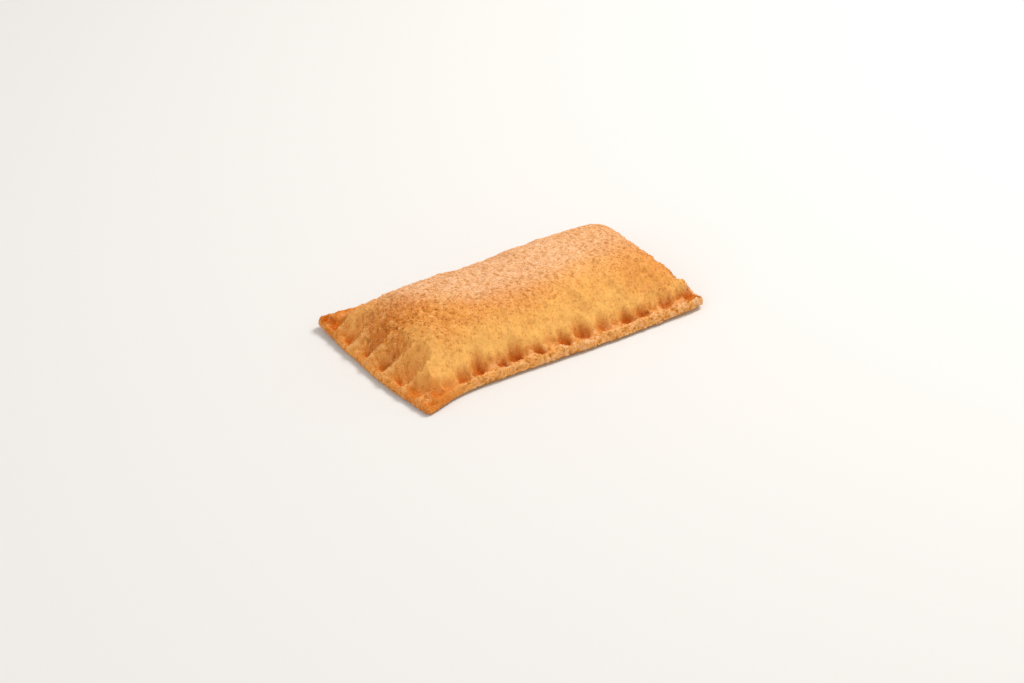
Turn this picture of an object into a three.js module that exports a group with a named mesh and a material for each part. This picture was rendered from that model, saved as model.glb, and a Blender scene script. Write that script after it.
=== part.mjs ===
import * as THREE from 'three';

// A baked sweet potato hand pie: one sheet of dough folded round its filling, then pressed shut
// along all four edges by a toothed crimper. It is uncut, so it is one solid with a crown in the
// middle and a thin lip all round. The teeth have left a row of one-sided troughs along each edge,
// with dough pushed up beside them.
// Millimetres, +Z up. The ends are at -X (left) and +X (right), the long edges at -Y (front)
// and +Y (back), and the flat underside is at z = 0.

// ---- Driving dimensions ----

const LENGTH = 127;        // left end to right end, before the edges wander
const WIDTH = 69.8;        // front edge to back edge, before the edges wander
const LIP = 3.8;           // thickness of the pressed lip, two layers of dough
const NOSE = 2.6;          // the lip's edge is rounded over this width
const BELLY = 0.2;         // share of the lip's thickness below its outermost line
const CROWN = 16.6;        // height of the filled middle above the lip
const FULLNESS = 2.65;     // 1 is a straight slope up to the crown, more is a fuller shoulder
const HIP = 2.5;           // how sharp the hips are where the slopes of two sides meet
const EDGE_LIFT = 0.5;     // the lip's underside stands this far off the table
const BASE_INSET = 9;      // the flat underside starts this far in from the edge

// The four sides. The crown starts to rise at foot, curves up over about toe, and takes about run
// more to be full, all measured in from the edge. The edge bows out by bow at its middle. Along
// it a strip of dough this wide stands up by stripRise, and a crease this deep runs along the
// foot of the crown.
//
// The tooth marks in a side's row each start this far in from the edge and go on for length. They
// ease in over mouth on either side of their start, and out over the share close of their length.
// A mark is cut to depth times its force, and takes the share cut of the crown away. It is steep
// over near on the side of its row's first mark and gentle over far on the other, and leans along
// the edge by lean for each millimetre inwards. Beside its steep brink it has pushed up dough as
// high as ridge and about as wide as heel. gaps are the spaces from one mark to the next, from
// the left or front corner, on the edges that can be seen. The other two have an uneven pitch.
const SIDES = {
	left: {
		foot: 1, toe: 5, run: 23.6, bow: 1.2, strip: 2.2, stripRise: 0.1, crease: 0,
		depth: 2.2, cut: 0.8, near: 2.4, far: 7.2, mouth: 2.6, close: 0.55, lean: 0.18,
		ridge: 1.2, heel: 1.3,
		gaps: [ 1.6, 7.4, 7.3, 9.8, 11, 11, 11.5 ],
		start: [ 2.4, 2.4, 2.4, 2.4, 2.6, 2.4, 2.4 ],
		length: [ 5, 8.5, 13, 12, 10, 10, 8 ],
		force: [ 0.7, 0.9, 1.1, 1.0, 1.1, 1.1, 1.2 ],
	},
	front: {
		foot: 4.2, toe: 2, run: 20.7, bow: 0.9, strip: 4.6, stripRise: 0.4, crease: 0.45,
		depth: 2.4, cut: 0.8, near: 2.6, far: 3.6, mouth: 1.4, close: 0.6, lean: 0.1,
		ridge: 0.5, heel: 1.3,
		gaps: [ 8.8, 6.4, 7, 8.5, 8.8, 7, 9.0, 10.9, 8.3, 9.5, 9.7, 7, 11, 7.5 ],
		start: [ 3.6, 3.8, 3.6, 4.2, 3.8, 4.4, 3.8, 4.2, 3.8, 4.2, 3.8, 4.0, 3.8, 3.4 ],
		length: [ 4.4, 3.0, 4.0, 4.8, 3.8 ],
		force: [ 0.65, 0.6, 0.85, 1.0, 1.0, 1.0, 0.85, 1.0, 0.95, 0.8, 0.9, 0.85, 1.0, 0.5 ],
	},
	right: {
		foot: 1, toe: 3, run: 18.9, bow: 1.1, strip: 3.0, stripRise: 0.3, crease: 0,
		depth: 1.8, cut: 0.8, near: 2.4, far: 3.4, mouth: 1.2, close: 0.6, lean: 0,
		ridge: 0.8, heel: 1.5,
		pitch: 8.7, start: [ 1.6 ], length: [ 7 ], force: [ 1 ],
	},
	back: {
		foot: 4.2, toe: 3, run: 25.4, bow: 0.6, strip: 3.6, stripRise: 0.3, crease: 0.45,
		depth: 2.1, cut: 0.8, near: 2.5, far: 3.1, mouth: 1.2, close: 0.4, lean: 0,
		ridge: 0.4, heel: 1.3,
		pitch: 8.7, start: [ 2.4, 2.8, 2.0 ], length: [ 4.4, 5.0 ], force: [ 1.0, 0.8 ],
	},
};
const PITCH_JITTER = 1.6;     // an uneven pitch is longer or shorter by up to half of this
const LENGTH_JITTER = 1.0;    // and so is each mark's length
const DEPTH_JITTER = 0.2;     // share by which the depth of a mark varies
const FLOOR = 0.85;           // a mark's gentle side reaches the floor at this share of the way
const THINNEST = 0.9;         // the teeth leave at least this much dough
const RIDGE_MOUTH = 0.9;      // the ridge beside a mark grows from the edge over this much
const CREASE_IN = 5.6;        // the crease runs this far in from the edge
const CREASE_WIDE = 1.1;      // and is about this wide to either side

// The four corners: the radius of the outline, how far the corner has moved out along X and Y,
// and how far it has curled up (negative: pressed down). The front left corner was pulled forward.
const CORNERS = [
	{ end: - 1, side: - 1, radius: 2.2, outX: - 1.8, outY: 3.9, curl: - 0.45 },
	{ end: 1, side: - 1, radius: 3.0, outX: 0.9, outY: 1.3, curl: 0.7 },
	{ end: - 1, side: 1, radius: 2.4, outX: 0.4, outY: 0, curl: 1.1 },
	{ end: 1, side: 1, radius: 4.2, outX: 0, outY: - 0.4, curl: 0 },
];
const CORNER_SPREAD = 14;     // distance over which a corner's pull dies away
const FRONT_SWAY = 3.0;       // the front edge sways in near the left end and out near the right
const LEFT_SWAY = 0.4;        // and the left end sways a little
const EDGE_CURL = { left: 0, right: 1.2, front: 0, back: 0.2 };
const CURL_SPREAD = 8;        // the edges' curl dies away over this distance

// Slow swells over the crown, as uneven filling gives: wavelengths, and height for each mm of them.
const SWELLS = [ 58, 41, 29, 21, 15, 11 ];
const SWELL_STEEPNESS = 0.0085;
const GOLDEN_ANGLE = 2.39996; // turns each swell away from the one before

// The mesh: lines at these distances in from the edges, then evenly spaced between. Those over
// the rounded edge stand at even angles round its quarter circle.
const NOSE_ANGLES = [ 90, 60, 30, 0 ];
const NOSE_LINES = NOSE_ANGLES.map( ( a ) => NOSE * ( 1 - Math.sin( a * Math.PI / 180 ) ) );
const CRIMP_LINES = [ 4.2, 5.6, 7, 8.4, 9.8, 11.4, 13.2, 15.2 ];
const STEP_X = 1.6;
const STEP_Y = 1.7;
const UNDERSIDE_LINES = [ 0.5, NOSE, 5, BASE_INSET ];
const HUB_X = 12;             // the flat underside's triangles meet this far right of the middle

const CRUST = new THREE.MeshStandardMaterial( { color: 0xdc9a55, roughness: 0.72, metalness: 0 } );

// ---- Helpers ----

const clamp01 = ( v ) => Math.min( Math.max( v, 0 ), 1 );

function smooth( low, high, v ) {

	const t = clamp01( ( v - low ) / ( high - low ) );
	return t * t * ( 3 - 2 * t );

}

// A repeatable number from 0 to 1 for each n, which stands in for chance.
function chance( n ) {

	const v = Math.sin( n * 12.9898 + 4.1 ) * 43758.5453;
	return v - Math.floor( v );

}

// ---- Tooth marks ----

// One row of marks along a side: the place of each along the edge, its start and its length
// inwards, and how hard it was pressed.
function toothRow( side, edgeLength, seed ) {

	const marks = [];
	const pick = ( list, i ) => list[ i % list.length ];
	let at = side.gaps ? 0 : side.pitch * 0.5;
	for ( let i = 0; side.gaps ? i < side.gaps.length : at < edgeLength - side.pitch * 0.5; i ++ ) {

		if ( side.gaps ) at += side.gaps[ i ];
		const n = seed + i * 3;
		marks.push( {
			at,
			start: pick( side.start, i ),
			length: pick( side.length, i ) + LENGTH_JITTER * ( chance( n ) - 0.5 ),
			force: pick( side.force, i ) * ( 1 + DEPTH_JITTER * ( chance( n + 1 ) - 0.5 ) * 2 ),
		} );
		if ( side.pitch ) at += side.pitch + PITCH_JITTER * ( chance( n + 2 ) - 0.5 );

	}

	return marks;

}

const ROWS = {
	left: toothRow( SIDES.left, WIDTH, 11 ),
	front: toothRow( SIDES.front, LENGTH, 101 ),
	right: toothRow( SIDES.right, WIDTH, 211 ),
	back: toothRow( SIDES.back, LENGTH, 307 ),
};

// How hard the teeth pressed here and how far dough rose beside them, each 0 to about 1: along is
// the distance along the edge and inward the distance in from it.
function toothPress( name, along, inward ) {

	const side = SIDES[ name ];
	let press = 0;
	let ridge = 0;
	for ( const mark of ROWS[ name ] ) {

		const off = along - mark.at + side.lean * ( inward - mark.start );
		const across = clamp01( 1 - Math.abs( off ) / ( off < 0 ? side.near : side.far ) );
		const trough = off < 0 ? Math.sin( across * Math.PI / 2 ) : smooth( 0, FLOOR, across );
		const mouth = smooth( mark.start - side.mouth, mark.start + side.mouth, inward );
		const farEnd = mark.start + mark.length;
		const end = 1 - smooth( farEnd - side.close * mark.length, farEnd, inward );
		const heel = Math.exp( - ( ( ( off + side.near + side.heel / 2 ) / side.heel ) ** 2 ) );
		press = Math.max( press, trough * mouth * end * mark.force );
		ridge = Math.max( ridge, heel * smooth( 0, RIDGE_MOUTH, inward ) * end * mark.force );

	}

	return { press, ridge: ridge * ( 1 - clamp01( press ) ) };

}

// ---- The shape ----

// Distances in from the four edges.
function distances( x, y ) {

	return { left: x + LENGTH / 2, right: LENGTH / 2 - x, front: y + WIDTH / 2, back: WIDTH / 2 - y };

}

function nearestEdge( x, y ) {

	return Math.min( LENGTH / 2 - Math.abs( x ), WIDTH / 2 - Math.abs( y ) );

}

// How far the dough stands off the table along the edge, with its curled corners and edges.
function edgeLift( x, y ) {

	const d = distances( x, y );
	const u = x / ( LENGTH / 2 );
	const v = y / ( WIDTH / 2 );
	let lift = EDGE_LIFT;
	for ( const c of CORNERS ) {

		const away = Math.hypot( x - c.end * LENGTH / 2, y - c.side * WIDTH / 2 ) / CORNER_SPREAD;
		lift += c.curl * Math.exp( - away * away );

	}

	for ( const name of Object.keys( SIDES ) ) {

		const middle = name === 'left' || name === 'right' ? 1 - v * v : 1 - u * u;
		lift += EDGE_CURL[ name ] * Math.exp( - ( ( d[ name ] / CURL_SPREAD ) ** 2 ) ) * middle;

	}

	return lift;

}

// Share of the full crown that one side's slope has reached at this distance in.
function slopeShare( side, inward ) {

	const past = Math.max( inward - side.foot, 0 );
	const eased = past * past / ( past + side.toe );
	return 1 - ( 1 - clamp01( eased / side.run ) ) ** FULLNESS;

}

// The four slopes meet in rounded hips: the lowest of them counts most.
function crownShare( d ) {

	const shares = Object.entries( SIDES ).map( ( [ name, side ] ) => slopeShare( side, d[ name ] ) );
	if ( Math.min( ...shares ) < 1e-5 ) return 0;
	const sum = shares.reduce( ( total, share ) => total + share ** - HIP, 1 - shares.length );
	return sum ** ( - 1 / HIP );

}

// Share of its full height, above or below the outermost line, that the rounded edge has reached.
function noseRound( inward ) {

	const t = clamp01( inward / NOSE );
	return Math.sqrt( 1 - ( 1 - t ) * ( 1 - t ) );

}

function swell( x, y ) {

	let height = 0;
	SWELLS.forEach( ( wave, i ) => {

		const angle = i * GOLDEN_ANGLE;
		const run = x * Math.cos( angle ) + y * Math.sin( angle );
		const phase = 2 * Math.PI * chance( 500 + i );
		height += wave * SWELL_STEEPNESS * Math.sin( 2 * Math.PI * run / wave + phase );

	} );
	return height;

}

// The crust's upper surface.
function topHeight( x, y ) {

	const d = distances( x, y );
	let press = 0;
	let share = 0;
	let cut = 0;
	let raised = 0;
	for ( const [ name, side ] of Object.entries( SIDES ) ) {

		const along = name === 'left' || name === 'right' ? d.front : d.left;
		const here = toothPress( name, along, d[ name ] );
		const bead = Math.sin( Math.PI * clamp01( d[ name ] / side.strip ) );
		press = Math.max( press, Math.min( here.press * side.depth, LIP - THINNEST ) );
		share = Math.max( share, clamp01( here.press ) );
		cut = Math.max( cut, clamp01( here.press ) * side.cut );
		raised = Math.max( raised, side.stripRise * bead + side.ridge * here.ridge );

	}

	for ( const [ name, side ] of Object.entries( SIDES ) ) {

		const crease = Math.exp( - ( ( ( d[ name ] - CREASE_IN ) / CREASE_WIDE ) ** 2 ) );
		raised -= side.crease * crease * ( 1 - share );

	}

	const round = noseRound( nearestEdge( x, y ) );
	const lip = LIP * ( BELLY + ( 1 - BELLY ) * round ) + ( raised - press ) * round;
	const filled = ( CROWN * ( 1 - cut ) + swell( x, y ) ) * crownShare( d );
	return edgeLift( x, y ) + lip + filled;

}

// The underside: flat in the middle, and rising to the rounded edge.
function bottomHeight( x, y ) {

	const inward = nearestEdge( x, y );
	const lift = edgeLift( x, y ) * ( 1 - smooth( NOSE, BASE_INSET, inward ) );
	return lift + BELLY * LIP * ( 1 - noseRound( inward ) );

}

// The outline: the plain rectangle's point x, y is moved to round the corners, bow the edges
// and pull the corners.
function place( x, y ) {

	for ( const c of CORNERS ) {

		const a = ( c.end * x - LENGTH / 2 ) / c.radius + 1;
		const b = ( c.side * y - WIDTH / 2 ) / c.radius + 1;
		if ( a <= 0 || b <= 0 ) continue;
		const ring = Math.max( a, b ) * c.radius;
		const turn = a >= b ? Math.PI / 4 * b / a : Math.PI / 2 - Math.PI / 4 * a / b;
		x = c.end * ( LENGTH / 2 - c.radius + ring * Math.cos( turn ) );
		y = c.side * ( WIDTH / 2 - c.radius + ring * Math.sin( turn ) );
		break;

	}

	const u = x / ( LENGTH / 2 );
	const v = y / ( WIDTH / 2 );
	let px = x + u ** 3 * ( 1 - v * v ) * ( u < 0 ? SIDES.left.bow : SIDES.right.bow );
	let py = y + v ** 3 * ( 1 - u * u ) * ( v < 0 ? SIDES.front.bow : SIDES.back.bow );
	if ( u < 0 ) px += Math.abs( u ) ** 3 * LEFT_SWAY * v * ( 1 - v * v );
	if ( v < 0 ) py -= Math.abs( v ) ** 3 * FRONT_SWAY * u * ( 1 - u * u );
	for ( const c of CORNERS ) {

		const away = Math.hypot( x - c.end * LENGTH / 2, y - c.side * WIDTH / 2 ) / CORNER_SPREAD;
		const pull = Math.exp( - away * away );
		px += c.end * c.outX * pull;
		py += c.side * c.outY * pull;

	}

	return [ px, py ];

}

// ---- The closed surface ----

function meshLines( span, fromEdge, step ) {

	const margin = fromEdge[ fromEdge.length - 1 ];
	const count = Math.round( ( span - 2 * margin ) / step );
	const low = fromEdge.map( ( d ) => d - span / 2 );
	const middle = [];
	for ( let i = 1; i < count; i ++ ) middle.push( margin - span / 2 + i * ( span - 2 * margin ) / count );
	return [ ...low, ...middle, ...low.map( ( v ) => - v ).reverse() ];

}

function pieGeometry() {

	const xs = meshLines( LENGTH, NOSE_LINES, STEP_X );
	const ys = meshLines( WIDTH, [ ...NOSE_LINES, ...CRIMP_LINES ], STEP_Y );
	const points = [];
	const faces = [];
	const add = ( x, y, z ) => points.push( [ ...place( x, y ), z ] ) - 1;
	const quad = ( a, b, c, d ) => faces.push( a, b, c, a, c, d );

	// the top, one point where each x line crosses each y line
	const top = xs.map( ( x ) => ys.map( ( y ) => add( x, y, topHeight( x, y ) ) ) );
	for ( let i = 0; i + 1 < xs.length; i ++ ) {

		for ( let j = 0; j + 1 < ys.length; j ++ ) {

			quad( top[ i ][ j ], top[ i + 1 ][ j ], top[ i + 1 ][ j + 1 ], top[ i ][ j + 1 ] );

		}

	}

	// the rim, once round the top's edge from the front left corner
	const lastX = xs.length - 1;
	const lastY = ys.length - 1;
	const rim = [
		...xs.map( ( x, i ) => [ i, 0 ] ),
		...ys.slice( 1 ).map( ( y, j ) => [ lastX, j + 1 ] ),
		...xs.slice( 1 ).map( ( x, i ) => [ lastX - 1 - i, lastY ] ),
		...ys.slice( 1, - 1 ).map( ( y, j ) => [ 0, lastY - 1 - j ] ),
	];

	// the underside, in rings that step in from the rim
	let outer = rim.map( ( [ i, j ] ) => top[ i ][ j ] );
	for ( const inset of UNDERSIDE_LINES ) {

		const shrinkX = 1 - 2 * inset / LENGTH;
		const shrinkY = 1 - 2 * inset / WIDTH;
		const inner = rim.map( ( [ i, j ] ) => {

			const x = xs[ i ] * shrinkX;
			const y = ys[ j ] * shrinkY;
			return add( x, y, bottomHeight( x, y ) );

		} );
		outer.forEach( ( a, k ) => {

			const next = ( k + 1 ) % outer.length;
			quad( a, inner[ k ], inner[ next ], outer[ next ] );

		} );
		outer = inner;

	}

	// the flat face it rests on fills the last ring from one point, so that no triangle is a
	// sliver along the ring's straight sides
	const hub = add( HUB_X, 0, 0 );
	outer.forEach( ( a, k ) => faces.push( a, hub, outer[ ( k + 1 ) % outer.length ] ) );

	const geometry = new THREE.BufferGeometry();
	geometry.setAttribute( 'position', new THREE.Float32BufferAttribute( points.flat(), 3 ) );
	geometry.setIndex( faces );

	// the origin is under the middle of the pie's box
	geometry.computeBoundingBox();
	const middle = geometry.boundingBox.getCenter( new THREE.Vector3() );
	geometry.translate( - middle.x, - middle.y, 0 );
	geometry.computeVertexNormals();
	return geometry;

}

const pie = new THREE.Mesh( pieGeometry(), CRUST );
pie.name = 'sweet_potato_pie';

const group = new THREE.Group();
group.add( pie );

export default group;
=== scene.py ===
# %% [markdown]
# # A sugared hand pie
# A hand pie is one sheet of short dough folded round a soft filling and pressed shut along its
# edges with a toothed crimper. It bakes golden where it is thin on sugar, dark where the teeth
# went in, and it is dusted with cinnamon sugar. In this lesson its skin is one surface worked out
# with numpy, its browning and the light and shade painted into its colour are carried by
# attributes on that surface, and its sugar and cinnamon are thousands of real grains joined
# into two meshes.
#
# The imported model is the outside of the sugar coat. It gives the size and the place, and the
# dressed pie stays inside its box.

import bpy
import numpy as np
from mathutils import Matrix


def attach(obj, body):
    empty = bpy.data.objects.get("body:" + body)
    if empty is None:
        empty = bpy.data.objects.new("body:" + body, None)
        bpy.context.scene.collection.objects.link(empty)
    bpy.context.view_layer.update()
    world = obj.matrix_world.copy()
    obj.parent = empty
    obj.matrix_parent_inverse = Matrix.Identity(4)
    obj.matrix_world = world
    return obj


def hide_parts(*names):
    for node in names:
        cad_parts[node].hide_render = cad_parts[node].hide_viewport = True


NODE = "sweet_potato_pie"

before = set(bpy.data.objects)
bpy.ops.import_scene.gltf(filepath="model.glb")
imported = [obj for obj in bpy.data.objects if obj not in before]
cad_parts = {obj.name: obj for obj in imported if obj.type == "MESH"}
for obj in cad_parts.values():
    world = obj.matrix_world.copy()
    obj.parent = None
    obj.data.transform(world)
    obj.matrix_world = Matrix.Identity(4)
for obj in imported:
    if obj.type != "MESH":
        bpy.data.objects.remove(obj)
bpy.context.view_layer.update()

# %% [markdown]
# ## The sizes
# The dough is measured in millimetres, as a baker would, and turned to metres when a mesh is
# made. +X is the right end, -Y the front edge, and the flat underside is at z = 0.
#
# All four sides follow the same rules, so each is only a row of numbers. The pillow starts to
# rise at foot, curves up over about toe, and takes about run more to be full. The edge bows out
# by bow at its middle and curls up by curl. Along it a strip of dough stands up by strip_rise,
# and a crease this deep runs along the foot of the pillow.
#
# Each tooth mark has a start and a length inwards. It eases in over mouth on either side of its
# start, and out over the share close of its length. It is cut to depth times its force, and takes
# the share cut of the pillow away. It is steep over near on one side, gentle over far on the
# other, and leans along the edge by lean for each millimetre inwards. Beside its steep brink
# stands a ridge, about as wide as heel. gaps are the spaces between the left and front sides'
# marks, and the other two sides have an uneven pitch.

# %% The driving sizes, in millimetres
MM = 0.001
LENGTH = 127.0
WIDTH = 69.8
LIP = 3.8            # thickness of the pressed lip, two layers of dough
NOSE = 2.6           # the lip's edge is rounded over this width
BELLY = 0.2          # share of the lip's thickness below its outermost line
CROWN = 16.6         # height of the filled middle above the lip
FULLNESS = 2.65      # 1 is a straight slope up to the crown, more is a fuller shoulder
HIP = 2.5            # how sharp the hips are where two slopes meet
EDGE_LIFT = 0.5      # the lip's underside stands this far off the table
BASE_INSET = 9.0     # the flat underside starts this far in from the edge

SIDES = {
    "left": dict(
        foot=1.0, toe=5.0, run=23.6, bow=1.2, curl=0.0, seed=11,
        strip=2.2, strip_rise=0.1, depth=2.2, cut=0.8, crease=0.0,
        near=2.4, far=7.2, mouth=2.6, close=0.55, lean=0.18, ridge=1.2, heel=1.3,
        gaps=[1.6, 7.4, 7.3, 9.8, 11, 11, 11.5],
        start=[2.4, 2.4, 2.4, 2.4, 2.6, 2.4, 2.4], length=[5, 8.5, 13, 12, 10, 10, 8],
        force=[0.7, 0.9, 1.1, 1.0, 1.1, 1.1, 1.2],
    ),
    "front": dict(
        foot=4.2, toe=2.0, run=20.7, bow=0.9, curl=0.0, seed=101,
        strip=4.6, strip_rise=0.4, depth=2.4, cut=0.8, crease=0.45,
        near=2.6, far=3.6, mouth=1.4, close=0.6, lean=0.1, ridge=0.5, heel=1.3,
        gaps=[8.8, 6.4, 7, 8.5, 8.8, 7, 9.0, 10.9, 8.3, 9.5, 9.7, 7, 11, 7.5],
        start=[3.6, 3.8, 3.6, 4.2, 3.8, 4.4, 3.8, 4.2, 3.8, 4.2, 3.8, 4.0, 3.8, 3.4],
        length=[4.4, 3.0, 4.0, 4.8, 3.8],
        force=[0.65, 0.6, 0.85, 1.0, 1.0, 1.0, 0.85, 1.0, 0.95, 0.8, 0.9, 0.85, 1.0, 0.5],
    ),
    "right": dict(
        foot=1.0, toe=3.0, run=18.9, bow=1.1, curl=1.2, seed=211,
        strip=3.0, strip_rise=0.3, depth=1.8, cut=0.8, crease=0.0,
        near=2.4, far=3.4, mouth=1.2, close=0.6, lean=0.0, ridge=0.8, heel=1.5,
        pitch=8.7, start=[1.6], length=[7.0], force=[1.0],
    ),
    "back": dict(
        foot=4.2, toe=3.0, run=25.4, bow=0.6, curl=0.2, seed=307,
        strip=3.6, strip_rise=0.3, depth=2.1, cut=0.8, crease=0.45,
        near=2.5, far=3.1, mouth=1.2, close=0.4, lean=0.0, ridge=0.4, heel=1.3,
        pitch=8.7, start=[2.4, 2.8, 2.0], length=[4.4, 5.0], force=[1.0, 0.8],
    ),
}
PITCH_JITTER = 1.6   # an uneven pitch is longer or shorter by up to half of this
LENGTH_JITTER = 1.0  # and so is each mark's length
DEPTH_JITTER = 0.2   # share by which the depth of a mark varies
FLOOR = 0.85         # a mark's gentle side reaches the floor at this share of the way down
THINNEST = 0.9       # the teeth leave at least this much dough
RIDGE_MOUTH = 0.9    # the ridge pushed up beside a mark grows from the edge over this much
CREASE_IN = 5.6      # the crease at the foot of the pillow runs this far in from the edge
CREASE_WIDE = 1.1    # and is about this wide to either side

CORNERS = [
    dict(end=-1, side=-1, radius=2.2, out_x=-1.8, out_y=3.9, curl=-0.45),
    dict(end=1, side=-1, radius=3.0, out_x=0.9, out_y=1.3, curl=0.7),
    dict(end=-1, side=1, radius=2.4, out_x=0.4, out_y=0.0, curl=1.1),
    dict(end=1, side=1, radius=4.2, out_x=0.0, out_y=-0.4, curl=0.0),
]
CORNER_SPREAD = 14.0  # a corner's pull and curl die away over this distance
FRONT_SWAY = 3.0      # the front edge sways in near the left end and out near the right
LEFT_SWAY = 0.4       # and the left end sways a little
CURL_SPREAD = 8.0     # an edge's curl dies away over this distance

SWELLS = [58, 41, 29, 21, 15, 11]  # wavelengths of the slow lumps over the pillow
SWELL_STEEPNESS = 0.0085           # their height for each millimetre of wavelength
GOLDEN_ANGLE = 2.39996             # turns each swell away from the one before

# %% Small helpers


def smooth(low, high, v):
    """0 below low, 1 above high, and an S-shaped step between: 3t^2 - 2t^3."""
    t = np.clip((v - low) / (high - low), 0, 1)
    return t * t * (3 - 2 * t)


def chance(n):
    """A repeatable number from 0 to 1 for each n: the fraction part of a large sine."""
    v = np.sin(np.asarray(n, float) * 12.9898 + 4.1) * 43758.5453
    return v - np.floor(v)


def noise(points, grain, seed):
    """Smooth random field from -1 to 1 whose lumps are about grain wide.

    Each corner of a cubic lattice holds a random number, and a point blends the eight round it
    with the S-shaped step. The lattice is turned, so that its rows don't show.
    """
    table = np.random.default_rng(seed).uniform(-1, 1, 4096)
    turned = points @ np.array(Matrix.Rotation(0.7, 3, (0.3, 0.5, 0.8)))
    cell = np.floor(turned / grain).astype(np.int64)
    t = turned / grain - cell
    t = t * t * t * (t * (6 * t - 15) + 10)
    total = np.zeros(len(points))
    for corner in np.ndindex(2, 2, 2):
        at = cell + corner
        pick = (at[:, 0] * 73856093) ^ (at[:, 1] * 19349663) ^ (at[:, 2] * 83492791)
        weight = np.prod(np.where(np.array(corner) == 1, t, 1 - t), axis=1)
        total += weight * table[pick & 4095]
    return total


# %% [markdown]
# ## The tooth marks
# A crimper leaves a row of troughs that lean one way: one brink is steep and the other runs out
# gently, and the dough that was pushed aside stands up beside the steep one as a crest. On the
# left and front edges the gaps between marks are given one by one, and on the other two they vary
# by a seeded rule. Each mark is a height function of two distances, along the edge and in from it,
# so a whole row costs a few lines of array arithmetic for each mark.

# %% Where the teeth went in


def tooth_row(side, length):
    """Place along the edge, start, length inwards and depth of each mark in one side's row."""
    if "gaps" in side:
        at = np.cumsum(side["gaps"]).astype(float)
        n = side["seed"] + 3 * np.arange(len(at))
    else:
        n = side["seed"] + 3 * np.arange(int(length / side["pitch"]) + 4)
        steps = side["pitch"] + PITCH_JITTER * (chance(n + 2) - 0.5)
        at = side["pitch"] * 0.5 + np.cumsum(steps) - steps
        n = n[at < length - side["pitch"] * 0.5]
        at = at[: len(n)]
    start = np.resize(side["start"], len(at))
    length_in = np.resize(side["length"], len(at)) + LENGTH_JITTER * (chance(n) - 0.5)
    force = np.resize(side["force"], len(at))
    depth = force * (1 + DEPTH_JITTER * (chance(n + 1) - 0.5) * 2)
    return list(zip(at, start, length_in, depth))


ROWS = {
    name: tooth_row(side, WIDTH if name in ("left", "right") else LENGTH)
    for name, side in SIDES.items()
}


def tooth_press(name, along, inward):
    """How hard the teeth pressed and how far dough rose beside them, each 0 to about 1.

    Across, a trough is a quarter sine on its steep side and an S on its gentle one, and a bell
    stands on the steep brink. Inwards the trough eases in at its mouth and the bell from the
    edge, and both ease out over the last share (close) of the length. The mark leans, and the
    deepest one at a point counts.
    """
    side = SIDES[name]
    press = np.zeros_like(along)
    ridge = np.zeros_like(along)
    for at, start, length_in, depth in ROWS[name]:
        off = along - at + side["lean"] * (inward - start)
        across = np.clip(1 - np.abs(off) / np.where(off < 0, side["near"], side["far"]), 0, 1)
        trough = np.where(off < 0, np.sin(across * np.pi / 2), smooth(0, FLOOR, across))
        mouth = smooth(start - side["mouth"], start + side["mouth"], inward)
        far_end = start + length_in
        end = 1 - smooth(far_end - side["close"] * length_in, far_end, inward)
        heel = np.exp(-(((off + side["near"] + side["heel"] / 2) / side["heel"]) ** 2))
        press = np.maximum(press, trough * mouth * end * depth)
        ridge = np.maximum(ridge, heel * smooth(0, RIDGE_MOUTH, inward) * end * depth)
    return press, ridge * (1 - np.clip(press, 0, 1))


print("tooth marks:", {name: len(row) for name, row in ROWS.items()})

# %% [markdown]
# ## The pillow
# The filling lifts the sheet into a pillow. Each side gives a slope, and the lowest slope counts
# most at any point, through a power mean: that makes rounded hips running in from the corners,
# where a plain product of slopes would sink them.

# %% Heights over the plain rectangle


def distances(x, y):
    """Distance in from each of the four edges."""
    return {
        "left": x + LENGTH / 2, "right": LENGTH / 2 - x,
        "front": y + WIDTH / 2, "back": WIDTH / 2 - y,
    }


def crown_share(d):
    """Share of the full crown: (sum of slope^-HIP over the four sides, less 3) ^ (-1/HIP), where
    a side's slope is 1 - (1 - t)^FULLNESS and t its eased distance in over its run."""
    slopes = []
    for name, side in SIDES.items():
        past = np.maximum(d[name] - side["foot"], 0)
        eased = past * past / (past + side["toe"])
        slopes.append(1 - (1 - np.clip(eased / side["run"], 0, 1)) ** FULLNESS)
    lowest = np.minimum.reduce(slopes)
    total = sum(np.maximum(slope, 1e-5) ** -HIP for slope in slopes) - 3
    return np.where(lowest < 1e-5, 0, total ** (-1 / HIP))


def corner_pull(corner, x, y):
    """1 at the corner and dying away as exp(-r^2)."""
    away = np.hypot(x - corner["end"] * LENGTH / 2, y - corner["side"] * WIDTH / 2)
    return np.exp(-((away / CORNER_SPREAD) ** 2))


def edge_lift(x, y):
    """How far the lip stands off the table: a constant, the corners' curl and the edges' curl."""
    d = distances(x, y)
    lift = EDGE_LIFT + sum(c["curl"] * corner_pull(c, x, y) for c in CORNERS)
    for name, side in SIDES.items():
        across = y / WIDTH if name in ("left", "right") else x / LENGTH
        fade = np.exp(-((d[name] / CURL_SPREAD) ** 2))
        lift = lift + side["curl"] * fade * (1 - 4 * across * across)
    return lift


def nearest_edge(x, y):
    return np.minimum(LENGTH / 2 - np.abs(x), WIDTH / 2 - np.abs(y))


def nose_round(inward):
    """Share of the lip's half thickness reached: a quarter circle over NOSE."""
    t = np.clip(inward / NOSE, 0, 1)
    return np.sqrt(1 - (1 - t) ** 2)


def swell(x, y):
    """Slow lumps of filling: sines whose height goes with their wavelength, each turned on."""
    height = np.zeros_like(x)
    for i, wave in enumerate(SWELLS):
        run = x * np.cos(i * GOLDEN_ANGLE) + y * np.sin(i * GOLDEN_ANGLE)
        phase = 2 * np.pi * chance(500 + i)
        height += wave * SWELL_STEEPNESS * np.sin(2 * np.pi * run / wave + phase)
    return height


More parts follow.
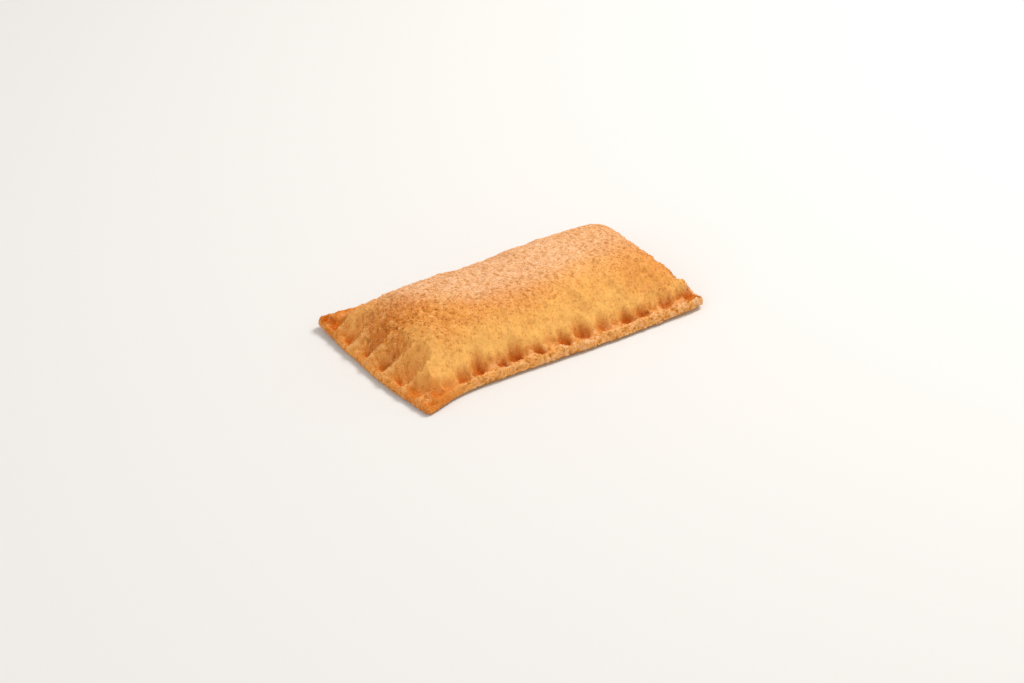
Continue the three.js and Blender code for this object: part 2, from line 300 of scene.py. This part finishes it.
def marks(x, y):
    """Depth of the tooth marks in mm, how far they are pressed from 0 to 1, the share of the
    crown that they cut away, what stands up in mm (the edge strip and the marks' ridges, less
    the crease at the foot of the pillow), and the ridges alone from 0 to 1."""
    d = distances(x, y)
    press = np.zeros_like(x)
    share = np.zeros_like(x)
    cut = np.zeros_like(x)
    raised = np.zeros_like(x)
    crest = np.zeros_like(x)
    for name, side in SIDES.items():
        along = d["front"] if name in ("left", "right") else d["left"]
        here, ridge = tooth_press(name, along, d[name])
        press = np.maximum(press, np.minimum(here * side["depth"], LIP - THINNEST))
        share = np.maximum(share, np.clip(here, 0, 1))
        cut = np.maximum(cut, np.clip(here, 0, 1) * side["cut"])
        bead = np.sin(np.pi * np.clip(d[name] / side["strip"], 0, 1))
        raised = np.maximum(raised, side["strip_rise"] * bead + side["ridge"] * ridge)
        crest = np.maximum(crest, np.clip(side["ridge"] * ridge, 0, 1))
    for name, side in SIDES.items():
        crease = np.exp(-(((d[name] - CREASE_IN) / CREASE_WIDE) ** 2))
        raised = raised - side["crease"] * crease * (1 - share)
    return press, share, cut, raised, crest


def top_height(x, y):
    """Lift of the lip, its rounded thickness with its marks, and the crown with its swells."""
    press, _, cut, raised, _ = marks(x, y)
    bend = nose_round(nearest_edge(x, y))
    lip = LIP * (BELLY + (1 - BELLY) * bend) + (raised - press) * bend
    crown = (CROWN * (1 - cut) + swell(x, y)) * crown_share(distances(x, y))
    return edge_lift(x, y) + lip + crown


def bottom_height(x, y):
    """The underside: flat, rising to the lip's lift and round its lower edge."""
    inward = nearest_edge(x, y)
    lift = edge_lift(x, y) * (1 - smooth(NOSE, BASE_INSET, inward))
    return lift + BELLY * LIP * (1 - nose_round(inward))


def place(x, y):
    """Moves the plain rectangle's points to the real outline: concentric corner arcs, then the
    edges' bows and sways, then the corners' pulls."""
    for c in CORNERS:
        a = (c["end"] * x - LENGTH / 2) / c["radius"] + 1
        b = (c["side"] * y - WIDTH / 2) / c["radius"] + 1
        ring = np.maximum(np.maximum(a, b), 1e-9)
        turn = np.where(a >= b, np.pi / 4 * b / ring, np.pi / 2 - np.pi / 4 * a / ring)
        inside = (a > 0) & (b > 0)
        reach_x = LENGTH / 2 - c["radius"] + ring * c["radius"] * np.cos(turn)
        reach_y = WIDTH / 2 - c["radius"] + ring * c["radius"] * np.sin(turn)
        x, y = (
            np.where(inside, c["end"] * reach_x, x),
            np.where(inside, c["side"] * reach_y, y),
        )
    u = x / (LENGTH / 2)
    v = y / (WIDTH / 2)
    bow_x = np.where(u < 0, SIDES["left"]["bow"], SIDES["right"]["bow"])
    bow_y = np.where(v < 0, SIDES["front"]["bow"], SIDES["back"]["bow"])
    px = x + u ** 3 * (1 - v * v) * bow_x
    py = y + v ** 3 * (1 - u * u) * bow_y
    px = px + np.where(u < 0, np.abs(u) ** 3, 0) * LEFT_SWAY * v * (1 - v * v)
    py = py - np.where(v < 0, np.abs(v) ** 3, 0) * FRONT_SWAY * u * (1 - u * u)
    for c in CORNERS:
        pull = corner_pull(c, x, y)
        px = px + c["end"] * c["out_x"] * pull
        py = py + c["side"] * c["out_y"] * pull
    return px, py


# %% [markdown]
# ## The crust's skin
# The top is a grid of lines across the plain rectangle, close together round the nose of the
# lip. The underside starts from the same rim and steps inwards in rings to one point, so the two
# share their rim and the skin is closed. The grid is a little finer than a sugar grain.

# %% Lay out the grid
GRID_STEP = 0.38
NOSE_STEPS = 7
# The underside's rings are this far in from the edge, and then shares of the last one's size.
RING_INSETS = [0.05, 0.2, 0.45, 0.8, 1.2, 1.6, NOSE, 4.2, 6.4, BASE_INSET]
RING_SHRINKS = [0.6, 0.35, 0.12]


def grid_lines(span):
    """Even lines across the middle, and over each nose lines that are even round its arc."""
    arc = NOSE * (1 - np.cos(np.linspace(0, np.pi / 2, NOSE_STEPS + 1)))
    count = int(round((span - 2 * NOSE) / GRID_STEP))
    middle = np.linspace(NOSE - span / 2, span / 2 - NOSE, count + 1)[1:-1]
    return np.concatenate([arc - span / 2, middle, span / 2 - arc[::-1]])


lines_x = grid_lines(LENGTH)
lines_y = grid_lines(WIDTH)
top_x, top_y = np.meshgrid(lines_x, lines_y, indexing="ij")
counts = top_x.shape
top_ids = np.arange(top_x.size).reshape(counts)
rim = np.concatenate([top_ids[:-1, 0], top_ids[-1, :-1], top_ids[:0:-1, -1], top_ids[0, :0:-1]])

flat_x = top_x.ravel()
flat_y = top_y.ravel()
ring_x = [flat_x[rim] * (1 - 2 * inset / LENGTH) for inset in RING_INSETS]
ring_y = [flat_y[rim] * (1 - 2 * inset / WIDTH) for inset in RING_INSETS]
ring_x += [ring_x[-1] * shrink for shrink in RING_SHRINKS] + [np.zeros(1)]
ring_y += [ring_y[-1] * shrink for shrink in RING_SHRINKS] + [np.zeros(1)]
under_x = np.concatenate(ring_x)
under_y = np.concatenate(ring_y)

# %% Join the faces
corner_a = top_ids[:-1, :-1].ravel()
corner_b = top_ids[1:, :-1].ravel()
corner_c = top_ids[1:, 1:].ravel()
corner_d = top_ids[:-1, 1:].ravel()
top_quads = np.stack([corner_a, corner_b, corner_c, corner_d], axis=1)

ring_ids = [rim]
for k in range(len(RING_INSETS) + len(RING_SHRINKS)):
    ring_ids.append(top_x.size + k * len(rim) + np.arange(len(rim)))
ring_quads = [
    np.stack([outer, inner, np.roll(inner, -1), np.roll(outer, -1)], axis=1)
    for outer, inner in zip(ring_ids[:-1], ring_ids[1:])
]
centre = top_x.size + under_x.size - 1
fan = np.stack([ring_ids[-1], np.full(len(rim), centre), np.roll(ring_ids[-1], -1)], axis=1)
quads = np.concatenate([top_quads, *ring_quads])
print("skin:", len(quads) * 2 + len(fan), "triangles")

# %% Work out the smooth skin
plain_x = np.concatenate([flat_x, under_x])
plain_y = np.concatenate([flat_y, under_y])
is_top = np.arange(plain_x.size) < top_x.size
place_x, place_y = place(plain_x, plain_y)

# The heights are read a little off their place, so that no mark is a clean shape: each row of
# BENDS is how far, over lumps how wide, and two seeds.
BENDS = [(0.7, 4.5, 51, 52), (0.4, 1.9, 53, 54)]
flat_points = np.stack([plain_x, plain_y, np.zeros_like(plain_x)], axis=1)
free = smooth(0, 3, nearest_edge(plain_x, plain_y))
bent_x = plain_x + free * sum(far * noise(flat_points, wide, a) for far, wide, a, b in BENDS)
bent_y = plain_y + free * sum(far * noise(flat_points, wide, b) for far, wide, a, b in BENDS)
height = np.where(is_top, top_height(bent_x, bent_y), bottom_height(plain_x, plain_y))
smooth_skin = np.stack([place_x, place_y, height], axis=1)
middle = (smooth_skin.min(axis=0) + smooth_skin.max(axis=0)) / 2 * [1, 1, 0]
smooth_skin -= middle


def vertex_normals(points, faces):
    """Unit normals: the sum over each point's faces of the cross product of their diagonals."""
    a, b, c, d = (points[faces[:, k]] for k in range(4))
    across = np.cross(c - a, d - b)
    total = np.stack([
        sum(np.bincount(faces[:, k], across[:, axis], len(points)) for k in range(4))
        for axis in range(3)
    ], axis=1)
    return total / np.maximum(np.linalg.norm(total, axis=1, keepdims=True), 1e-12)


normals = vertex_normals(smooth_skin, quads)
normals[centre] = (0, 0, -1)

# %% [markdown]
# ## Relief
# Baked dough isn't smooth. It has soft blisters a few millimetres wide, and on them cinnamon sugar
# has caked into clumps of about a millimetre with small pits between. The clumps stand where a
# noise is near zero, which it is along lines, so they join up, and the pits are where it is far
# from zero on either side. A bump map would vanish along the outline, so the relief moves the
# skin itself, along its normals. The skin lies a grain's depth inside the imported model, which
# leaves room for the grains on top of it.

# %% Work out the relief
GRAIN_ROOM = 0.55
RIM_ROOM = 0.15      # at the very edge the relief rises no more than this
CLUMP_HEIGHT = 0.16
CAKED_WIDE = 1.1     # the clumps join up along lines about this far apart
CAKED_SEED = 5
CAKED_RISE = 0.45    # lift of those lines, on a scale from -1 to 1
PIT_FALL = 1.5       # and how fast they fall away into the pits
# Each row is how wide the lumps are, how much they count, and a seed.
BLISTERS = [(6.0, 0.10, 1), (2.6, 0.08, 2)]
CLUMPS = [(1.3, 0.6, 3), (0.85, 0.45, 4)]
PATCHES = [(11.0, 0.5, 21), (5.0, 0.35, 22)]
MOTTLES = [(2.4, 0.5, 23), (1.3, 0.5, 24)]


def lumps(rows):
    """The sum of several noises over the skin."""
    return sum(share * noise(smooth_skin, wide, seed) for wide, share, seed in rows)


caked = CAKED_RISE - PIT_FALL * np.abs(noise(smooth_skin, CAKED_WIDE, CAKED_SEED))
clumps = np.clip(lumps(CLUMPS) + caked, -1, 1)
blisters = lumps(BLISTERS)
patchy = lumps(PATCHES)
mottle = lumps(MOTTLES)

# %% [markdown]
# ## Where it is brown, where light and shade are painted, and where the sugar lies
# The teeth press dough thin, so it bakes dark in the marks, and the left end and its corners
# took the most heat. Painted shade deepens the marks and lies in patches along the crease at the
# foot of the pillow, and a painted highlight lies on the tops of the sugar clumps and on the
# crests at the left end, with painted shade in the gaps between clumps. Sugar stays where it
# falls, on the flat crown and on the strip outside the marks, and slides off the steep slopes.
# All of these are worked out for each point of the skin, mostly from its distances to the edges,
# made uneven by noise, and kept as attributes that the finish reads, so the pattern can't slide
# over the surface.

# %% Browning, painted light and shade, and sugar
WANDER_X = 3.0       # the zones' borders wander by this much along the pie
WANDER_Y = 2.5       # and by this much across it

_, mark_share, _, _, crest = marks(bent_x, bent_y)
depths = distances(bent_x, bent_y)
crown_part = crown_share(depths)
from_left = depths["left"] + WANDER_X * patchy
from_front = depths["front"] + WANDER_Y * patchy

# The zones that took heat, each from 0 to 1: the slope up from the left end, the belt along the
# front flank, the right end's flank, the lobes at the left end, its corners, and the strips that
# lie outside the marks.
left_end = (1 - smooth(22, 42, from_left)) * smooth(3, 9, from_left)
left_slope = left_end * smooth(17, 35, from_front) * (1 - 0.6 * smooth(40, 54, from_front))
belt = smooth(9, 20, from_front) * (1 - 0.6 * smooth(24, 38, from_front))
belt = belt * (0.3 + 0.36 * smooth(12, 28, from_left) - 0.34 * smooth(50, 88, from_left))
right_end = smooth(90, 104, from_left)
right_flank = right_end * smooth(7, 11, from_front) * (0.62 - 0.37 * smooth(28, 44, from_front))
lobes = 1 - smooth(4, 8, depths["left"])
long_edge = np.minimum(depths["front"], depths["back"])
left_corners = 1 - smooth(10, 24, depths["left"] + long_edge)
front_strip = 1 - smooth(4.0, 7.0, depths["front"])
back_strip = 1 - smooth(3.0, 5.0, depths["back"])
right_strip = 1 - smooth(3.0, 6.0, depths["right"])

# The plateau is the crown's flat top, where most sugar lies. It starts further back at the left.
plateau_edge = 26 + 21.5 * (1 - smooth(9, 49, from_left))
plateau = smooth(plateau_edge - 12, plateau_edge + 10, from_front)
plateau = plateau * (1 - 0.25 * right_end) * smooth(7, 24, from_left) * (1 - back_strip)

# The dough is as toasted as the strongest zone makes it.
front_toast = 0.45 + 0.35 * (1 - smooth(8, 30, from_left))
# Round the marks the dough is toasted, partly from baking and partly as painted shade in their
# hollows.
toast_and_shade_by_marks = 0.7 * smooth(0.05, 0.5, mark_share) * smooth(10, 22, from_left)
toast_and_shade_by_marks = toast_and_shade_by_marks * (1 - 0.5 * smooth(0.15, 0.45, crown_part))
toast = np.maximum.reduce([
    left_slope, belt, right_flank, 0.75 * lobes, left_corners, front_toast * front_strip,
    0.4 * right_strip, 0.4 * back_strip, toast_and_shade_by_marks,
])
toast = np.clip(toast + 0.12 * patchy + 0.1 * mottle, 0, 1) * is_top
# Darker again: browning where the teeth pressed the dough thin together with painted shade in the
# marks, painted shade in patches along the crease at the foot of the pillow, and browning at the left
# corners.
brown_and_shade = smooth(0.3, 0.85, mark_share + 0.12 * mottle) * (1 - 0.85 * smooth(0.08, 0.35, crown_part))
crease_shade = np.exp(-(((long_edge - CREASE_IN) / CREASE_WIDE) ** 2))
crease_shade = crease_shade * smooth(12, 24, depths["left"]) * np.clip(0.55 + mottle, 0, 1)
brown_and_shade = np.maximum.reduce([brown_and_shade, 0.35 * left_corners, 0.7 * crease_shade])

# Sugar tints the dough, and grit is how thick the clumps, specks and grains lie.
strips = np.maximum(front_strip * smooth(14, 30, depths["left"]), right_strip)
sugar = plateau + 0.6 * strips * smooth(-0.2, 0.6, clumps) + 0.3 * right_strip
sugar = np.clip(sugar * (1 + 0.25 * mottle) * (1 - 0.7 * brown_and_shade), 0, 1) * is_top
grit = 0.35 + 0.4 * plateau + 0.6 * left_slope + 0.6 * belt + 0.5 * strips + 0.15 * right_end
grit = (grit + 0.3 * lobes + 0.25 * toast_and_shade_by_marks) * (1 - 0.3 * brown_and_shade)
grit = np.clip(grit, 0.05, 1) * is_top
# Painted light and shade: above 0 a painted highlight on the tops of the sugar clumps and on the
# crests at the left end, below 0 painted shade in the gaps between clumps.
painted_light = np.clip(clumps * grit + 0.7 * crest * lobes, -1, 1)
print("sugar covers", round(float(sugar[is_top].mean()), 2), "of the top on average")

# %% Raise the skin
# The whole top moves, and the underside less and less from its nose to its flat face.
inward = nearest_edge(plain_x, plain_y)
moved = np.where(is_top, 1.0, 1 - smooth(NOSE, BASE_INSET, inward))
rugged = 1 + 2.0 * np.maximum(strips, 0.6 * lobes) * is_top
relief = blisters * rugged + CLUMP_HEIGHT * clumps * (0.3 + grit)
relief = np.minimum(relief, RIM_ROOM + smooth(0, 4, inward))
skin = smooth_skin + normals * ((relief - GRAIN_ROOM) * moved)[:, None]
skin[:, 2] = np.maximum(skin[:, 2], 0)
print("relief from", round(relief.min(), 2), "to", round(relief.max(), 2), "mm")

# %% Put an array into a mesh


def make_piece(name, points, faces, smooth_shaded=True):
    """A mesh object from points in mm and one or more arrays of faces. It sits at the origin."""
    mesh = bpy.data.meshes.new(name)
    loops = np.concatenate([face.ravel() for face in faces])
    sizes = np.concatenate([np.full(len(face), face.shape[1]) for face in faces])
    mesh.vertices.add(len(points))
    mesh.vertices.foreach_set("co", (points * MM).astype(np.float32).ravel())
    mesh.loops.add(len(loops))
    mesh.loops.foreach_set("vertex_index", loops.astype(np.int32))
    mesh.polygons.add(len(sizes))
    mesh.polygons.foreach_set("loop_start", (np.cumsum(sizes) - sizes).astype(np.int32))
    mesh.polygons.foreach_set("use_smooth", np.full(len(sizes), smooth_shaded))
    mesh.update(calc_edges=True)
    mesh.validate()
    piece = bpy.data.objects.new(name, mesh)
    bpy.context.scene.collection.objects.link(piece)
    return piece


def add_attribute(piece, name, values):
    layer = piece.data.attributes.new(name, "FLOAT", "POINT")
    layer.data.foreach_set("value", values.astype(np.float32))


crust = make_piece("baked_crust", skin, [quads, fan])
LAYERS = {"toast": toast, "brown_and_shade": brown_and_shade, "sugar": sugar, "grit": grit, "painted_light": painted_light}
for layer, values in LAYERS.items():
    add_attribute(crust, layer, values)

# %% [markdown]
# ## Sugar and cinnamon
# The grains are real: slightly irregular little blocks of sugar and thin flakes of cinnamon, each
# sunk a little into the skin. They are drawn from the skin's own faces, more of them where the
# grit attribute is high, with one seeded draw for each kind, and joined into one mesh for each.

# %% Scatter on the skin
SUGAR_GRAINS = 12000
CINNAMON_FLAKES = 6000
SUGAR_SIZE = (0.42, 0.36, 0.28)      # length, width and thickness of a usual grain
CINNAMON_SIZE = (0.42, 0.34, 0.18)   # and of a usual flake
SIZE_SPREAD = 0.22   # each of the three is larger or smaller by about this share
GRAIN_TILT = 0.12    # a grain leans from the skin's normal by about this much
GRAIN_ROUGH = 0.12   # its corners are out of place by up to this share
BLOCK = np.array([
    (-1, -1, -1), (1, -1, -1), (1, 1, -1), (-1, 1, -1),
    (-1, -1, 1), (1, -1, 1), (1, 1, 1), (-1, 1, 1),
]) / 2
BLOCK_FACES = np.array([
    (0, 3, 2, 1), (4, 5, 6, 7), (0, 1, 5, 4), (1, 2, 6, 5), (2, 3, 7, 6), (3, 0, 4, 7),
])
FLAKE = np.array([(-1, 0, 0), (0, -1, 0), (1, 0, 0), (0, 1, 0), (0, 0, -1), (0, 0, 1)]) / 2
FLAKE_FACES = np.array([
    (0, 1, 5), (1, 2, 5), (2, 3, 5), (3, 0, 5), (1, 0, 4), (2, 1, 4), (3, 2, 4), (0, 3, 4),
])

skin_normals = vertex_normals(skin, quads)
face_a, face_b, face_c, face_d = (skin[top_quads[:, k]] for k in range(4))
face_area = np.linalg.norm(np.cross(face_c - face_a, face_d - face_b), axis=1) / 2


def scatter(name, count, weight, shape, faces, size, sink, seed):
    """count copies of shape on the skin's top faces: a face is drawn with a chance that goes with
    its area times weight, a point in it by two even numbers, and a turn about its normal."""
    draw = np.random.default_rng(seed)
    chances = face_area * weight[top_quads].mean(axis=1)
    face = draw.choice(len(top_quads), count, p=chances / chances.sum())
    s, t = draw.random((2, count, 1))
    corners = top_quads[face]
    blend = [(1 - s) * (1 - t), s * (1 - t), s * t, (1 - s) * t]
    at = sum(w * skin[corners[:, k]] for k, w in enumerate(blend))
    up = sum(w * skin_normals[corners[:, k]] for k, w in enumerate(blend))
    up = up + draw.normal(0, GRAIN_TILT, (count, 3))
    up /= np.linalg.norm(up, axis=1, keepdims=True)
    side = np.cross(up, draw.normal(0, 1, (count, 3)))
    side /= np.linalg.norm(side, axis=1, keepdims=True)
    forth = np.cross(up, side)
    scale = np.array(size) * np.exp(draw.normal(0, SIZE_SPREAD, (count, 3)))
    rough = draw.uniform(-GRAIN_ROUGH, GRAIN_ROUGH, (count, len(shape), 3))
    local = shape[None] * scale[:, None] * (1 + rough)
    raised = at + up * (scale[:, 2:] * (0.5 - sink))
    points = raised[:, None] + np.einsum("nvi,nij->nvj", local, np.stack([side, forth, up], axis=1))
    ids = faces[None] + (np.arange(count) * len(shape))[:, None, None]
    piece = make_piece(name, points.reshape(-1, 3), [ids.reshape(-1, faces.shape[1])], False)
    add_attribute(piece, "tone", np.repeat(draw.random(count), len(shape)))
    for layer, values in LAYERS.items():
        under = sum(w[:, 0] * values[corners[:, k]] for k, w in enumerate(blend))
        add_attribute(piece, layer, np.repeat(under, len(shape)))
    triangles = count * len(faces) * (faces.shape[1] - 2)
    print(name, count, "grains,", triangles, "triangles")
    return piece


sugar_grains = scatter(
    "sugar_grains", SUGAR_GRAINS, grit, BLOCK, BLOCK_FACES, SUGAR_SIZE, sink=0.4, seed=31
)
cinnamon = scatter(
    "cinnamon_flakes", CINNAMON_FLAKES, grit, FLAKE, FLAKE_FACES, CINNAMON_SIZE, sink=0.3, seed=32
)

# %% [markdown]
# ## The finishes
# One rule gives the colour, and the crust and both kinds of grain read it. A grain of sugar is
# clear enough to show the crust below, so it takes the crust's colour there and adds a tint.

# %% Colour and node helpers


def linear(hex_colour):
    """An sRGB hex colour as linear RGBA."""
    parts = np.array([int(hex_colour[k:k + 2], 16) for k in (1, 3, 5)]) / 255
    turned = np.where(parts <= 0.04045, parts / 12.92, ((parts + 0.055) / 1.055) ** 2.4)
    return (*turned, 1.0)


def add_node(tree, kind, settings=None, **inputs):
    """Adds a node. settings are its properties; an input is a value or another node's output."""
    node = tree.nodes.new("ShaderNode" + kind)
    for key, value in (settings or {}).items():
        setattr(node, key, value)
    for key, value in inputs.items():
        socket = node.inputs[int(key[1:])] if key[0] == "i" and key[1:].isdigit() else (
            node.inputs[key.replace("_", " ")])
        if isinstance(value, bpy.types.NodeSocket):
            tree.links.new(value, socket)
        else:
            socket.default_value = value
    return node


def new_material(name):
    material = bpy.data.materials.new(name)
    material.use_nodes = True
    material.node_tree.nodes.clear()
    return material, material.node_tree


def attribute(tree, name):
    return add_node(tree, "Attribute", {"attribute_name": name}).outputs["Fac"]


def mix(tree, share, a, b):
    return add_node(tree, "Mix", {"data_type": "RGBA"}, i0=share, i6=a, i7=b).outputs[2]


def times(tree, a, b):
    return add_node(tree, "Math", {"operation": "MULTIPLY"}, i0=a, i1=b).outputs[0]


def speckle(tree, millimetres, low, high):
    """Spots about so many millimetres apart: 0 where the noise is below low, 1 above high."""
    place_on = add_node(tree, "TexCoord").outputs["Object"]
    field = add_node(
        tree, "TexNoise", None, Vector=place_on, Scale=1 / (millimetres * MM), Detail=2.0,
        Roughness=0.6,
    ).outputs["Fac"]
    return add_node(
        tree, "MapRange", {"interpolation_type": "SMOOTHSTEP"},
        Value=field, From_Min=low, From_Max=high,
    ).outputs[0]


# %% Short crust baked with cinnamon sugar
# Flour and fat, rolled thin and baked until golden, with cinnamon sugar strewn on before. The fat
# and the dry flour leave it matt, so it is rough and has almost no highlight. Where the heat was
# strong it is orange-brown, and where sugar covers it it is paler and a little pink.
GOLDEN = linear("#F9BC66")
TOASTED = linear("#E08A3A")
# The next colour is dough browned where the teeth pressed it thin, deepened into painted shade in the
# marks and along the crease.
PRESSED_BROWN_AND_SHADE = linear("#CA660C")
SUGARED = linear("#EFBC8C")
# The next two colours are a painted highlight on the tops of the sugar clumps and on the crests, and
# the two after them painted shade in the gaps between clumps.
BARE_HIGHLIGHT = linear("#FFC67C")
SUGARED_HIGHLIGHT = linear("#FFDAB4")
BARE_GAP_SHADE = linear("#AC5E0C")
SUGARED_GAP_SHADE = linear("#CC8A48")
BARE_SPECK = linear("#A85C0E")
SUGARED_SPECK = linear("#C07438")


def crust_colour(tree):
    """Golden dough, toasted by toast, tinted by its sugar and darkened in the marks, partly by
    browning and partly by painted shade. A painted highlight lightens the tops of the sugar clumps
    and the crests, and painted shade browns the gaps between the clumps."""
    sugar_part = attribute(tree, "sugar")
    painted_light_part = attribute(tree, "painted_light")
    baked = mix(tree, attribute(tree, "toast"), GOLDEN, TOASTED)
    dusted = mix(tree, sugar_part, baked, SUGARED)
    # The marks' colour here is partly browning and partly painted shade.
    pressed = mix(tree, attribute(tree, "brown_and_shade"), dusted, PRESSED_BROWN_AND_SHADE)
    tops = add_node(tree, "MapRange", None, Value=painted_light_part, From_Min=0.1, From_Max=0.9, To_Max=0.7)
    gaps = add_node(tree, "MapRange", None, Value=painted_light_part, From_Min=-0.1, From_Max=-0.9, To_Max=0.8)
    highlight_colour = mix(tree, sugar_part, BARE_HIGHLIGHT, SUGARED_HIGHLIGHT)
    gap_shade_colour = mix(tree, sugar_part, BARE_GAP_SHADE, SUGARED_GAP_SHADE)
    lit = mix(tree, tops.outputs[0], pressed, highlight_colour)
    return mix(tree, gaps.outputs[0], lit, gap_shade_colour)


def sugared_crust():
    material, tree = new_material("short_crust_baked_with_cinnamon_sugar")
    grit_part = attribute(tree, "grit")
    blotch = times(tree, speckle(tree, 2.5, 0.45, 0.7), 0.14)
    base = mix(tree, blotch, crust_colour(tree), TOASTED)
    brown = mix(tree, attribute(tree, "sugar"), BARE_SPECK, SUGARED_SPECK)
    brown_spots = times(tree, times(tree, speckle(tree, 0.42, 0.44, 0.68), grit_part), 0.5)
    colour = mix(tree, brown_spots, base, brown)
    bump = add_node(
        tree, "Bump", None, Strength=0.6, Distance=0.12 * MM,
        Height=speckle(tree, 0.5, 0.2, 0.8),
    )
    shader = add_node(
        tree, "BsdfPrincipled", None, Base_Color=colour, Roughness=0.6, IOR=1.45,
        Specular_IOR_Level=0.08, Normal=bump.outputs[0],
    )
    add_node(tree, "OutputMaterial", None, Surface=shader.outputs[0])
    return material


# %% Granulated sugar and ground cinnamon
# Sugar is grown crystal, baked until its edges soften and its faces dull: a grain is warm, and
# lets the crust show through. Cinnamon is dried bark ground to flakes, dark brown and quite matt.


def grain_material(name, tint, least, most, roughness):
    """The crust's colour under the grain, painted shade and highlights included, mixed with a tint
    by a share that varies from grain to grain, because a small crystal lets the crust show through."""
    material, tree = new_material(name)
    share = add_node(
        tree, "MapRange", None, Value=attribute(tree, "tone"), To_Min=least, To_Max=most
    ).outputs[0]
    colour = mix(tree, share, crust_colour(tree), linear(tint))
    shader = add_node(
        tree, "BsdfPrincipled", None, Base_Color=colour, Roughness=roughness, IOR=1.5,
        Specular_IOR_Level=0.08,
    )
    add_node(tree, "OutputMaterial", None, Surface=shader.outputs[0])
    return material


crust.data.materials.append(sugared_crust())
sugar_grains.data.materials.append(
    grain_material("granulated_sugar", "#FFC884", 0.0, 0.35, 0.55))
cinnamon.data.materials.append(
    grain_material("ground_cinnamon", "#94500E", 0.1, 0.7, 0.8))

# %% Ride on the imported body
for piece in (crust, sugar_grains, cinnamon):
    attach(piece, "root")
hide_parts(NODE)

# %% Floor
FLOOR_SIZE = 8.0
bpy.ops.mesh.primitive_plane_add(size=FLOOR_SIZE)
floor = bpy.context.object
floor.name = "floor"
floor_material, tree = new_material("pale_matte_floor")
floor_shader = add_node(
    tree, "BsdfPrincipled", None, Base_Color=linear("#E6E4E1"), Roughness=0.9)
add_node(tree, "OutputMaterial", None, Surface=floor_shader.outputs[0])
floor.data.materials.append(floor_material)

# %% Camera
LENS = 85.0
SENSOR = 36.0
TURN = np.radians(34.523)
TILT = np.radians(32.444)
DISTANCE = 901.56
SHIFT_RIGHT = -0.524
SHIFT_UP = 9.07

right = np.array([np.cos(TURN), -np.sin(TURN), 0.0])
away = np.array([np.sin(TURN), np.cos(TURN), 0.0])
straight_up = np.array([0.0, 0.0, 1.0])
look = away * np.cos(TILT) - straight_up * np.sin(TILT)
camera_up = away * np.sin(TILT) + straight_up * np.cos(TILT)
eye = -right * SHIFT_RIGHT - camera_up * SHIFT_UP - look * DISTANCE - middle

camera_data = bpy.data.cameras.new("camera")
camera_data.lens = LENS
camera_data.sensor_width = SENSOR
camera_data.clip_start = 0.01
camera_data.clip_end = 50
camera = bpy.data.objects.new("camera", camera_data)
camera.matrix_world = Matrix((
    (right[0], camera_up[0], -look[0], eye[0] * MM),
    (right[1], camera_up[1], -look[1], eye[1] * MM),
    (right[2], camera_up[2], -look[2], eye[2] * MM),
    (0, 0, 0, 1),
))
bpy.context.scene.collection.objects.link(camera)
bpy.context.scene.camera = camera

# %% Lights


def softbox(name, to_right, to_back, up, size, power, colour):
    """A square lamp placed from the pie by how far right, back and up it is as seen by the
    camera, in metres, and turned to face it."""
    data = bpy.data.lights.new(name, "AREA")
    data.shape = "SQUARE"
    data.size = size
    data.energy = power
    data.color = linear(colour)[:3]
    lamp = bpy.data.objects.new(name, data)
    at = right * to_right + away * to_back + straight_up * up
    facing = at / np.linalg.norm(at)
    across = np.cross(straight_up, facing)
    across /= np.linalg.norm(across)
    over = np.cross(facing, across)
    lamp.matrix_world = Matrix((
        (across[0], over[0], facing[0], at[0]),
        (across[1], over[1], facing[1], at[1]),
        (across[2], over[2], facing[2], at[2]),
        (0, 0, 0, 1),
    ))
    bpy.context.scene.collection.objects.link(lamp)


softbox("key", 0.5, 0.35, 0.9, 0.4, 8.5, "#FFFBF6")
softbox("fill", -0.6, -0.8, 0.5, 0.9, 3.0, "#FFFFFF")

world = bpy.data.worlds.new("studio")
world.use_nodes = True
world.node_tree.nodes["Background"].inputs["Color"].default_value = linear("#FAFAFA")
world.node_tree.nodes["Background"].inputs["Strength"].default_value = 0.58
bpy.context.scene.world = world
bpy.context.scene.view_settings.view_transform = "Standard"
